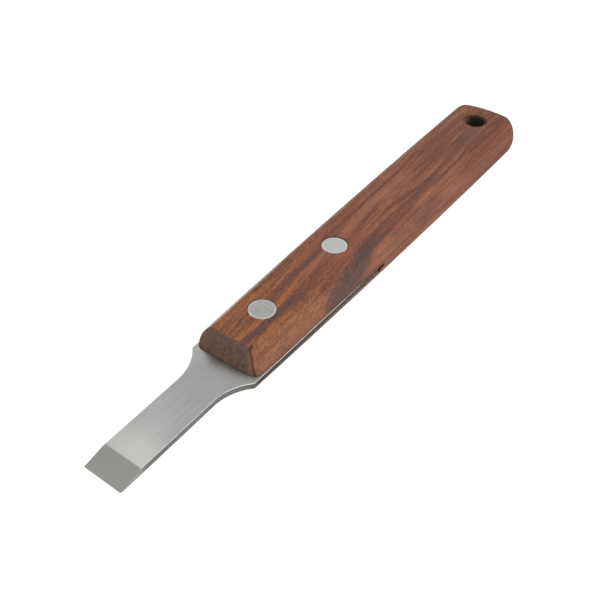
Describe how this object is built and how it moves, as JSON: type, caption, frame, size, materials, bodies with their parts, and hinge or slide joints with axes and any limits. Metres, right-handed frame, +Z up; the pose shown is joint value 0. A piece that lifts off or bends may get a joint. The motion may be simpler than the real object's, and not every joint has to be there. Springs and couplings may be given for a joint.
{
  "type": "straight hoof pick",
  "caption": "Straight hoof pick: a narrow flat steel blade with a chisel tip, flared shoulders and a full-width tang riveted into a slotted, tapered hardwood handle with a hanging hole.",
  "frame": {"origin": "on the resting surface, under the middle of the whole length and on the tool's middle plane", "axes": "+X from the cutting edge towards the butt, +Z up out of the upper face of the handle, +Y across the blade"},
  "size_m": [0.2032, 0.0268, 0.017],
  "materials": {
    "blade_steel": "satin brushed along the blade, the chisel bevel ground finer",
    "handle_wood": "reddish brown rosewood type hardwood, satin oiled",
    "rivet_metal": "flat satin heads, polished flush with the wood"
  },
  "bodies": {
    "root": {"blade": "blade_steel", "handle": "handle_wood", "front_rivet_male": "rivet_metal", "front_rivet_female": "rivet_metal", "rear_rivet_male": "rivet_metal", "rear_rivet_female": "rivet_metal"}
  },
  "joints": []
}
